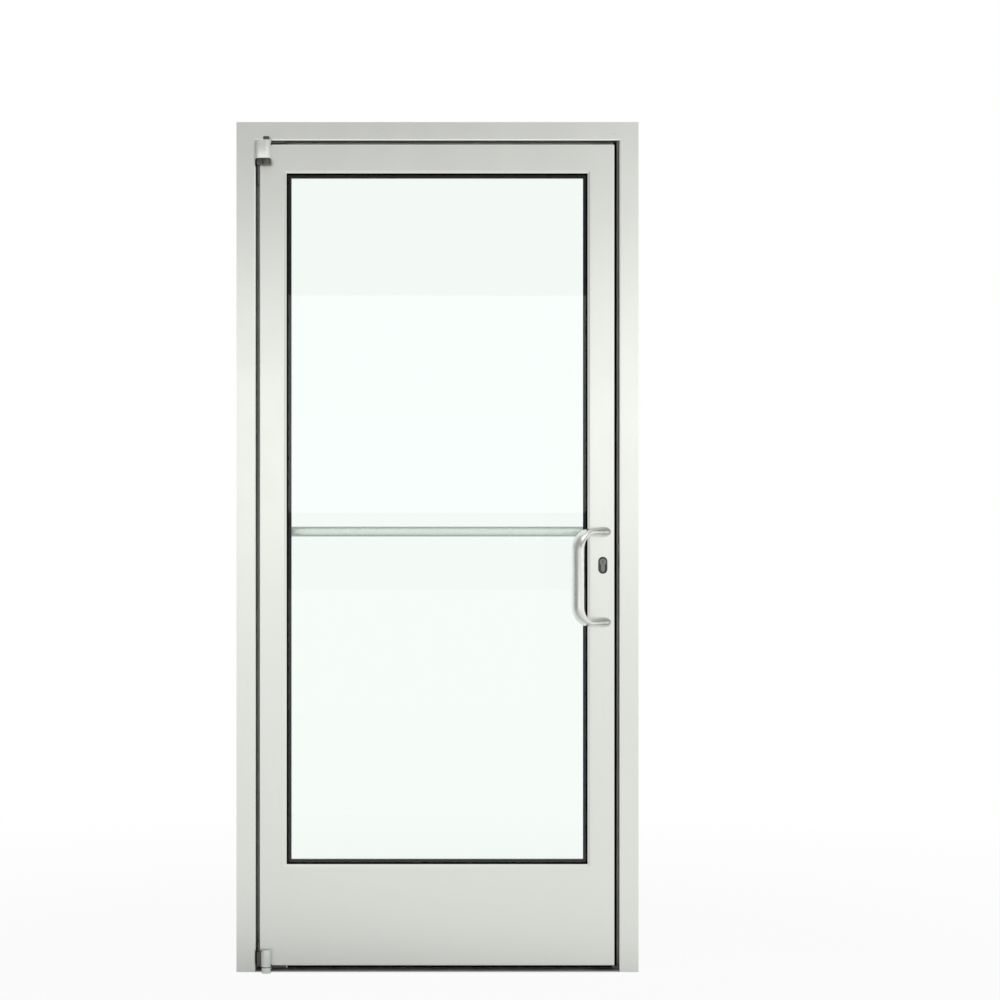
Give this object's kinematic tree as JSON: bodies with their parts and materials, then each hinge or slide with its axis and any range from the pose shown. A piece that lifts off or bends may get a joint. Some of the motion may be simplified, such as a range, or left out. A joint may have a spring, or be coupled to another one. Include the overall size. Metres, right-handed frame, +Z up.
{
  "type": "glass door",
  "caption": "Aluminium-framed entrance door: a narrow-stile glazed leaf on offset pivots in a tubular frame, with a pull, a push bar and a deadlock.",
  "frame": {"origin": "on the floor, midway between the jambs and midway through the frame's depth", "axes": "+X across the width towards the lock side, -Y towards the outside that the leaf opens to, +Z up"},
  "size_m": [1.016, 0.2042, 2.148],
  "materials": {
    "anodised_aluminium": "clear anodised, satin",
    "mill_aluminium": "mill finish",
    "seal_rubber": "matt black rubber",
    "clear_glass": "clear float glass",
    "spacer_black": "black warm-edge spacer and sealant",
    "satin_steel": "satin stainless",
    "cast_pivot": "satin, plated casting",
    "pin_steel": "ground steel",
    "bushing_bronze": "oiled bronze",
    "washer_nylon": "black nylon",
    "zinc_steel": "zinc plated",
    "lock_steel": "satin stainless",
    "dark_lock_metal": "dark grey lacquer",
    "lock_brass": "nickel plated brass"
  },
  "bodies": {
    "frame": {"hinge_jamb": "anodised_aluminium", "lock_jamb": "anodised_aluminium", "head": "anodised_aluminium", "threshold": "mill_aluminium", "corner_cleats": "mill_aluminium", "hinge_door_stop": "anodised_aluminium", "lock_door_stop": "anodised_aluminium", "head_door_stop": "anodised_aluminium", "hinge_weather_seal": "seal_rubber", "lock_weather_seal": "seal_rubber", "head_weather_seal": "seal_rubber", "strike_plate": "lock_steel", "frame_screws": "zinc_steel", "top_pivot_bracket": "cast_pivot", "top_pivot_pin": "pin_steel", "bottom_pivot_base": "cast_pivot", "bottom_pivot_pin": "pin_steel"},
    "leaf": {"bolt_cap": "satin_steel", "bottom_pivot_arm": "cast_pivot", "bottom_rail": "anodised_aluminium", "bottom_sweep": "seal_rubber", "corner_blocks": "mill_aluminium", "cylinder_body": "dark_lock_metal", "cylinder_screw": "zinc_steel", "glass_spacer": "spacer_black", "handle_bolts": "zinc_steel", "hinge_stile": "anodised_aluminium", "inner_escutcheon": "dark_lock_metal", "inner_gaskets": "seal_rubber", "inner_pane": "clear_glass", "inner_stop_bottom": "anodised_aluminium", "inner_stop_hinge": "anodised_aluminium", "inner_stop_lock": "anodised_aluminium", "inner_stop_top": "anodised_aluminium", "leaf_screws": "zinc_steel", "lock_case": "zinc_steel", "lock_faceplate": "lock_steel", "lock_stile": "anodised_aluminium", "outer_escutcheon": "dark_lock_metal", "outer_gaskets": "seal_rubber", "outer_pane": "clear_glass", "outer_stop_bottom": "anodised_aluminium", "outer_stop_hinge": "anodised_aluminium", "outer_stop_lock": "anodised_aluminium", "outer_stop_top": "anodised_aluminium", "pivot_bushings": "bushing_bronze", "pull_handle": "satin_steel", "push_bar": "satin_steel", "push_bar_stud": "zinc_steel", "setting_blocks": "seal_rubber", "thrust_washer": "washer_nylon", "tie_rod_nuts": "zinc_steel", "tie_rods": "zinc_steel", "top_pivot_arm": "cast_pivot", "top_rail": "anodised_aluminium"},
    "key_plug": {"key_plug": "lock_brass"},
    "thumbturn": {"thumbturn": "dark_lock_metal", "cylinder_cam": "lock_brass"},
    "deadbolt": {"deadbolt": "lock_steel"}
  },
  "joints": [
    {"name": "door_swing", "type": "hinge", "parent": "frame", "child": "leaf", "pos_m": [-0.4314, -0.07115, 0], "axis": [0, 0, -1], "range_deg": [0, 105]},
    {"name": "key_turn", "type": "hinge", "parent": "leaf", "child": "key_plug", "pos_m": [0.418, -0.05215, 1.036], "axis": [0, 1, 0], "range_deg": [0, 360]},
    {"name": "thumb_turn", "type": "hinge", "parent": "leaf", "child": "thumbturn", "pos_m": [0.418, -0.0077, 1.036], "axis": [0, 1, 0], "range_deg": [0, 360]},
    {"name": "bolt_throw", "type": "slide", "parent": "leaf", "child": "deadbolt", "axis": [1, 0, 0], "range_m": [0, 0.02]}
  ],
  "couplings": [
    {"joint": "key_turn", "follows": "bolt_throw", "rad_per_m": 314.1},
    {"joint": "thumb_turn", "follows": "bolt_throw", "rad_per_m": 314.1}
  ]
}
